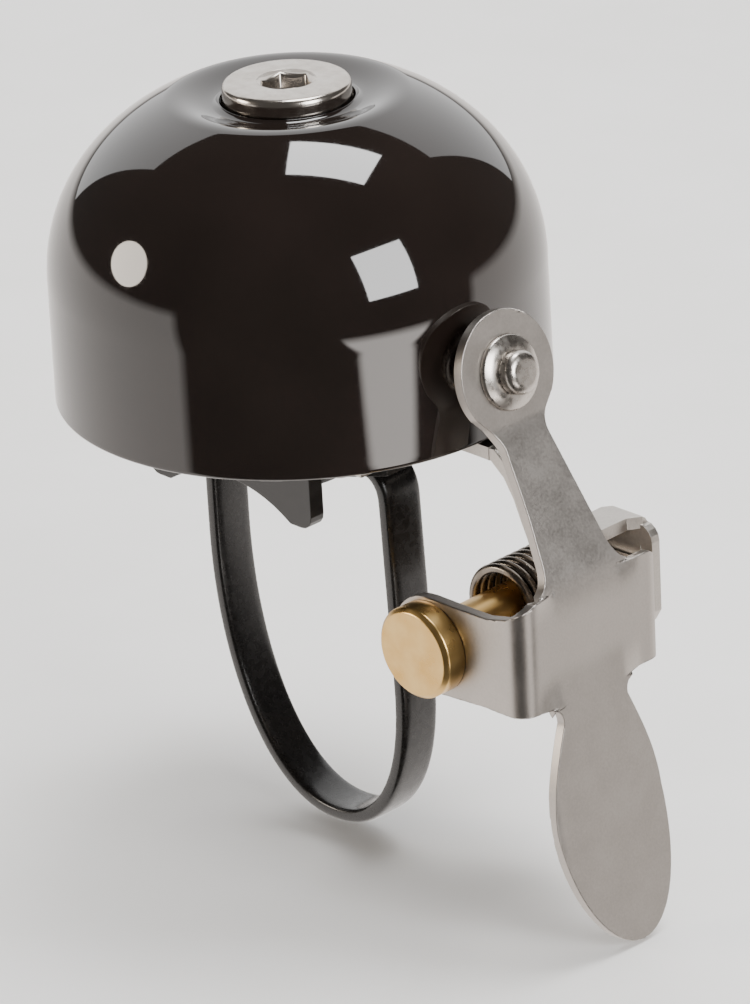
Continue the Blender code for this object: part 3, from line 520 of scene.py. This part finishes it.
# Half widths and middle of the tab: a sine's growth from the neck, then a quarter ellipse.
share = np.clip((z_rows - TAB_TOP[1]) / (TAB_TIP[1] - TAB_TOP[1]), 0, 1)
growth = np.sin(np.pi / 2 * np.clip((share - 0.1) / 0.38, 0, 1))
leaf = (4.05 + 2.6 * growth) * np.sqrt(1 - np.clip((share - 0.48) / 0.52, 0, 1) ** 2)
leaf += fillet(BODY_LOW_Z - z_rows, NECK_FILLET) * (share < 0.2)
lean = 1.3 * np.clip((share - 0.48) / 0.52, 0, 1) - 0.4 * np.sin(np.pi * share)

# Reach of the body rows along the unfolded sheet, out to the ears' round ends.
near_start, near_arc = -NEAR_Y - NEAR_R, math.pi / 2 * NEAR_R
far_start, far_arc = FAR_Y - FAR_R, math.pi / 2 * FAR_R
down = np.clip((EAR_TOP_Z - z_rows) / (EAR_TOP_Z - BODY_LOW_Z), 0, 1)
round_z = EAR_TOP_Z - down * 2 * EAR_R
round_x = PIVOT[0] - np.sqrt(np.clip(EAR_R ** 2 - (round_z - PIVOT[1]) ** 2, 0, None))
above = z_rows > EAR_TOP_Z
near_reach = np.where(above, np.interp(-z_rows, [9.6, 10.9, 11.45], [near_start, near_start + near_arc,
                                                                    near_start + near_arc + 2.4]),
                      near_start + near_arc + BODY_X - NEAR_R - round_x)
far_reach = np.where(above, np.interp(-z_rows, [9.6, 10.9, 11.45], [far_start, far_start + far_arc,
                                                                   far_start + far_arc + 2.4]),
                     far_start + far_arc + BODY_X - FAR_R - round_x)
in_body = (z_rows <= BODY_TOP_Z) & (z_rows >= BODY_LOW_Z)
in_tab = z_rows < BODY_LOW_Z
low_w = np.where(in_tab, lean - leaf, np.where(in_body, -near_reach, -blade))[:, None]
high_w = np.where(in_tab, lean + leaf, np.where(in_body, far_reach, blade))[:, None]

near_edge = -near_start - near_arc
far_edge = far_start + far_arc
columns = np.concatenate([
    np.linspace(near_edge - BODY_X + NEAR_R + PIVOT[0] - EAR_R, near_edge, 34)[:-1],
    np.linspace(near_edge, -near_start, 11)[:-1], np.linspace(-near_start, far_start, 44)[:-1],
    np.linspace(far_start, far_edge, 9)[:-1],
    np.linspace(far_edge, far_edge + BODY_X - FAR_R - PIVOT[0] + EAR_R, 34)])
lowest_body = np.flatnonzero(in_body)[-1]
first_body = np.flatnonzero(in_body)[0]
for row in (lowest_body + 1, first_body - 1):
    for end in (low_w[row, 0], high_w[row, 0]):
        columns[np.argmin(np.abs(columns - end))] = end
w = np.broadcast_to(columns, (len(z_rows), len(columns)))
w = np.where(w < low_w + 0.14, low_w, np.where(w > high_w - 0.14, high_w, w))

# Folding: past a bend's start the sheet turns on its radius, then runs straight back.
near_turn = np.clip((-near_start - w) / NEAR_R, 0, np.pi / 2)
far_turn = np.clip((w - far_start) / FAR_R, 0, np.pi / 2)
back = NEAR_R * (1 - np.cos(near_turn)) + np.clip(-near_start - near_arc - w, 0, None)
back += FAR_R * (1 - np.cos(far_turn)) + np.clip(w - far_start - far_arc, 0, None)
y = np.clip(w, -near_start, far_start) - NEAR_R * np.sin(near_turn) + FAR_R * np.sin(far_turn)
lean_out = np.where(in_body[:, None], np.clip((6.3 - np.abs(w)) / 2.2, 0, 1), 1.0)
x = BODY_X + (x_rows[:, None] - BODY_X) * lean_out - back
ear_drop = np.clip((29.6 - x) / 6.2, 0, 1) * down[:, None] * in_body[:, None]
z = z_rows[:, None] - ear_drop * (2 * EAR_R - (EAR_TOP_Z - BODY_LOW_Z))

# The pin's hole: cells near the pivot's axis are left out of both ears, and the points around them
# are drawn to the hole's circle.
on_ear = np.abs(y) > np.where(w < 0, -NEAR_Y, FAR_Y) - 1e-6
offset = np.stack([x - PIVOT[0], z - PIVOT[1]], axis=-1)
reach = np.linalg.norm(offset, axis=-1)
cells = grid_faces(len(z_rows), len(columns))
flat_reach, flat_ear = reach.reshape(-1)[cells], on_ear.reshape(-1)[cells]
drilled = (flat_reach.max(axis=1) < PIN_HOLE_R + 0.28) & flat_ear.all(axis=1)
edge_ids = np.intersect1d(cells[drilled].reshape(-1), cells[~drilled].reshape(-1))
ring_share = (PIN_HOLE_R / np.maximum(reach, 1e-6)).reshape(-1)
x_flat, z_flat = x.reshape(-1).copy(), z.reshape(-1).copy()
x_flat[edge_ids] = PIVOT[0] + offset[..., 0].reshape(-1)[edge_ids] * ring_share[edge_ids]
z_flat[edge_ids] = PIVOT[1] + offset[..., 1].reshape(-1)[edge_ids] * ring_share[edge_ids]
cell_row = cells[:, 0] // len(columns)
cell_w = w.reshape(-1)[cells]
webbed = (cell_row == lowest_body) & ((cell_w[:, 1] < low_w[lowest_body + 1, 0] + 1e-6)
                                      | (cell_w[:, 0] > high_w[lowest_body + 1, 0] - 1e-6))
lever_points = np.stack([x_flat, y.reshape(-1), z_flat], axis=-1)

lever_steel = tumbled_steel("tumbled_stainless_lever", "#B4AEA8", "#BEB8B2", 0.36, 0.43)
ring_lever = mesh_piece("ring_lever", over_rim(lever_points), cells[~drilled & ~webbed][:, ::-1], "lever",
                        ["striker_lever"], [lever_steel], merge=6e-5)
wall = ring_lever.modifiers.new("sheet_thickness", "SOLIDIFY")
wall.thickness = SHEET_T * 0.001
wall.offset = -1
wall.use_even_offset = False
edge_round = ring_lever.modifiers.new("tumbled_edges", "BEVEL")
edge_round.width = 0.0001
edge_round.segments = 2
edge_round.limit_method = "ANGLE"
edge_round.angle_limit = math.radians(50)
edge_round.use_clamp_overlap = False
edge_round.loop_slide = False
edge_round.harden_normals = True

# Hammer and its washer. A turned steel button strikes the dome from behind the disc; its shank is
# riveted over a domed washer, and its end is rounded by the rivet set.


def disc_points(profile, steps):
    """A profile turned about the disc's axis: its heights are distances out of the disc's front."""
    turned = turned_points(profile, steps)
    placed = on_disc(turned[:, 0], turned[:, 2])
    return np.stack([placed[:, 0], turned[:, 1], placed[:, 1]], axis=-1)


hammer_profile = rounded([(0, -2.65), (2.2, -2.6), (3.0, -2.0), (3.0, -1.05), (1.5, -1.05), (1.5, 0.9),
                          (1.95, 0.9), (1.95, 1.9), (1.45, 2.3), (0, 2.3)],
                         [0, 0.8, 0.5, 0.15, 0.05, 0.05, 0.1, 0.45, 0.4, 0], 7)[6:-6]
washer_profile = rounded([(1.65, 0.05), (3.35, 0.05), (3.35, 0.42), (2.55, 0.82), (1.65, 0.85)],
                         [0.05, 0.05, 0.2, 0.5, 0.05], 7)

# Lathe-turned steel: brighter than the sheet, with an unevenness about 0.6 mm across that breaks up
# its highlights.
turned_steel, tree, shader = finish_of("lathe_turned_steel", Metallic=1.0)
tool_marks = object_noise(tree, 1600)
tree.links.new(two_colours(tree, spread(tree, tool_marks.outputs["Fac"], 0, 1), "#B9B3AC", "#D2CCC5"),
               shader.inputs["Base Color"])
tree.links.new(spread(tree, tool_marks.outputs["Fac"], 0.22, 0.34), shader.inputs["Roughness"])
bumped(tree, shader, tool_marks.outputs["Fac"], 0.00001, 0.4)

mesh_piece("strike_button", over_rim(disc_points(hammer_profile, 72)),
           grid_faces(len(hammer_profile), 72, False, True), "lever",
           ["striker_hammer"], [turned_steel])
mesh_piece("rivet_washer", over_rim(disc_points(washer_profile, 72)),
           grid_faces(len(washer_profile), 72, True, True), "lever",
           ["hammer_washer"], [turned_steel])

# Pivot pin. Turned brass with a broad flat head, straight from the lathe: a satin face with fine
# rings and a small bright chamfer.
PIN_R = 2.25


def pivot_points(profile, steps):
    """A profile turned about the pivot's axis: its heights are places along Y."""
    turned = turned_points(profile, steps)
    return np.stack([PIVOT[0] + turned[:, 1], turned[:, 2], PIVOT[1] + turned[:, 0]], axis=-1)


pin_profile = rounded([(0, -10.79), (3.85, -10.79), (4.25, -10.39), (4.25, -8.49), (PIN_R, -8.49),
                       (PIN_R, 14.05), (0, 14.05)], [0, 0.12, 0.12, 0.12, 0.05, 0.3, 0], 6)[5:-5]
brass, tree, shader = finish_of("turned_brass", Metallic=1.0)
place = node(tree, "ShaderNodeTexCoord")
centred = node(tree, "ShaderNodeMapping", [("Vector", place.outputs["Object"])])
centred.inputs["Location"].default_value = (-0.001 * PIVOT[0], 0, -(0.001 * PIVOT[1] + RIM_Z))
rings = node(tree, "ShaderNodeTexWave", [("Vector", centred.outputs["Vector"])], wave_type="RINGS",
             rings_direction="Y", Scale=650.0, Distortion=1.2, Detail=2.0)
stain = object_noise(tree, 420)
tree.links.new(two_colours(tree, spread(tree, stain.outputs["Fac"], 0, 1), "#D8AE68", "#E9C584"),
               shader.inputs["Base Color"])
tree.links.new(spread(tree, stain.outputs["Fac"], 0.24, 0.36), shader.inputs["Roughness"])
bumped(tree, shader, rings.outputs["Fac"], 0.000008, 0.5)
mesh_piece("brass_pin", over_rim(pivot_points(pin_profile, 96)),
           grid_faces(len(pin_profile), 96, False, True), "base", ["pivot_pin"],
           [brass])

# Pivot washer and nut. Pressed and cold-headed steel with the same barrel plate as the post. They hold
# the pin in the bracket's fixed ear.
dress(["pivot_washer", "pivot_nut"], zinc, 0.12)

# Return spring. Music wire wound into a close coil on the pin; one leg lies behind the lever's body
# and the other under the ledge. Tempered to a dark bronze-grey.
COIL_CENTRE = PIVOT + (-0.3, 0.42)
COIL_R = 3.4
WIRE_R = 0.42
COIL_START_Y = 0.5
COIL_PITCH = 0.95
turns = (-90 - (90 + 24 - 2520)) / 360
turn = np.linspace(0, 1, 560)
angle = np.radians(-90 - 360 * turns * turn)
coil = np.stack([COIL_CENTRE[0] + COIL_R * np.cos(angle), COIL_START_Y + COIL_PITCH * turns * turn,
                 COIL_CENTRE[1] + COIL_R * np.sin(angle)], axis=-1)
leg_in = np.linspace([33.2, COIL_START_Y, COIL_CENTRE[1] - COIL_R], coil[0], 24)[:-1]
leg_out = np.linspace(coil[-1], coil[-1] + 8.8 * np.array([math.cos(math.radians(24)), 0,
                                                         math.sin(math.radians(24))]), 24)[1:]
wire_path = np.concatenate([leg_in, coil, leg_out])
tangent = np.gradient(wire_path, axis=0)
tangent /= np.linalg.norm(tangent, axis=1)[:, None]
side = np.cross(tangent, (0, 1, 0))
side /= np.linalg.norm(side, axis=1)[:, None]
over = np.cross(side, tangent)
around = np.linspace(0, 2 * np.pi, 14, endpoint=False)
size = np.full(len(wire_path), WIRE_R)[:, None, None]
tube = wire_path[:, None] + size * (np.cos(around)[None, :, None] * side[:, None]
                                    + np.sin(around)[None, :, None] * over[:, None])
caps = wire_path[[0, -1]][:, None].repeat(14, axis=1)
tube = np.concatenate([caps[:1], tube, caps[1:]])

# Oil-tempered wire: a dark bronze-grey with sharp highlights along each turn, and patches of oxide
# about 1.4 mm across.
temper, tree, shader = finish_of("oil_tempered_wire", Metallic=1.0)
oxide = object_noise(tree, 700)
tree.links.new(two_colours(tree, spread(tree, oxide.outputs["Fac"], 0, 1), "#6E665E", "#958C82"),
               shader.inputs["Base Color"])
tree.links.new(spread(tree, oxide.outputs["Fac"], 0.2, 0.32), shader.inputs["Roughness"])
return_spring = mesh_piece("return_spring", over_rim(tube.reshape(-1, 3)),
                           grid_faces(len(tube), 14, False, True), None, ["torsion_spring"],
                           [temper])
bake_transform(return_spring)

# Floor. A plain pale paper sheet, 0.2 mm below the bell's lowest point. Glossy surfaces mirror the
# studio surround in its place.
FLOOR_DROP = 0.0002
FLOOR_HALF = 3
floor_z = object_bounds()[0][2] - FLOOR_DROP
sheet_mesh = bpy.data.meshes.new("pale_floor")
sheet_mesh.from_pydata([(x * FLOOR_HALF, y * FLOOR_HALF, floor_z)
                        for x, y in ((-1, -1), (1, -1), (1, 1), (-1, 1))], [], [(0, 1, 2, 3)])
pale_floor = bpy.data.objects.new("pale_floor", sheet_mesh)
bpy.context.scene.collection.objects.link(pale_floor)
paper, tree, shader = finish_of("pale_paper", Roughness=0.9)
fibre = object_noise(tree, 60)
tree.links.new(two_colours(tree, spread(tree, fibre.outputs["Fac"], 0, 1), "#F2F1EF", "#F6F5F4"),
               shader.inputs["Base Color"])
sheet_mesh.materials.append(paper)
pale_floor.visible_glossy = False

# Lights. A softbox overhead, a square one beyond the lever, a round one to the left, and a long low
# bank behind that the crown mirrors.
BELL_MIDDLE = np.array([0.0, 0.0, 0.03])


def softbox(name, direction, distance, width, height, radiance, shape="RECTANGLE", roll=0.0,
            colour="#FFFFFF"):
    """An area light facing the bell. Its power is radiance times pi times its area."""
    lamp = bpy.data.lights.new(name, "AREA")
    lamp.shape = shape
    lamp.size, lamp.size_y = width, height
    lamp.energy = radiance * math.pi * width * height * (math.pi / 4 if shape == "ELLIPSE" else 1)
    lamp.color = linear(colour)[:3]
    box = bpy.data.objects.new(name, lamp)
    bpy.context.scene.collection.objects.link(box)
    away = np.array(direction, float) / np.linalg.norm(direction)
    box.location = (BELL_MIDDLE + away * distance).tolist()
    turn = Vector(away.tolist()).to_track_quat("Z", "Y").to_matrix() @ Matrix.Rotation(roll, 3, "Z")
    box.rotation_euler = turn.to_euler()
    box.visible_camera = False
    return box


softbox("overhead_box", (0.06, 0.24, 0.97), 0.6, 0.29, 0.21, 14, roll=math.radians(54))
softbox("square_box", (0.92, 0.0, 0.37), 0.7, 0.30, 0.36, 13)
softbox("round_box", (-0.612, -0.75, 0.252), 0.7, 0.26, 0.26, 12, "ELLIPSE", colour="#FFF4E6")
softbox("back_bank", (-0.62, 0.60, 0.50), 1.1, 2.0, 1.15, 1.5)
floor_wash = softbox("floor_wash", (-0.1, 0.3, 0.95), 1.3, 1.6, 1.6, 2.3)
floor_wash.visible_glossy = False

# Studio surround. A dim room, with the pale table behind and to the left, and one lit strip in front:
# each is a smooth step of the direction's lean towards it, below the horizon.
ROOM_STRENGTH = 0.1
world = bpy.data.worlds.new("studio")
world.use_nodes = True
tree = world.node_tree
look = node(tree, "ShaderNodeTexCoord").outputs["Generated"]
height = node(tree, "ShaderNodeSeparateXYZ", [(0, look)]).outputs["Z"]
room = node(tree, "ShaderNodeValue")
room.outputs[0].default_value = ROOM_STRENGTH
shine = room.outputs[0]
for toward, start, end, gain, low, deep in (((-0.87, 0.5, 0.0), -0.37, -0.29, 1.7, 0.03, -0.06),
                                            ((0.9976, -0.07, 0.0), 0.9, 0.914, 5.8, -0.21, -0.29)):
    below = spread(tree, height, 0, 1, low, deep)
    lean_to = node(tree, "ShaderNodeVectorMath", [(0, look)], operation="DOT_PRODUCT")
    lean_to.inputs[1].default_value = toward
    lit = spread(tree, lean_to.outputs["Value"], 0, gain, start, end)
    part = node(tree, "ShaderNodeMath", [(0, lit), (1, below)], operation="MULTIPLY").outputs[0]
    shine = node(tree, "ShaderNodeMath", [(0, shine), (1, part)], operation="ADD").outputs[0]
surround = tree.nodes["Background"]
surround.inputs["Color"].default_value = linear("#F1EBE6")
tree.links.new(shine, surround.inputs["Strength"])
bpy.context.scene.world = world

# Camera. A long lens from the near side, between the lever's face and the pin's head, looking down by
# about 24 degrees.
LENS_MM = 182.5
CAMERA_PLACE = (0.3117, -0.2867, 0.1950)
back_axis = Vector((0.6630, -0.6266, 0.4098)).normalized()
up_axis = Vector((-0.2594, 0.3213, 0.9109))
right_axis = up_axis.cross(back_axis).normalized()
up_axis = back_axis.cross(right_axis)
lens = bpy.data.cameras.new("camera")
lens.lens = LENS_MM
lens.clip_start = 0.01
camera = bpy.data.objects.new("camera", lens)
camera.matrix_world = Matrix.Translation(CAMERA_PLACE) @ Matrix(
    (right_axis, up_axis, back_axis)).transposed().to_4x4()
bpy.context.scene.collection.objects.link(camera)
bpy.context.scene.camera = camera
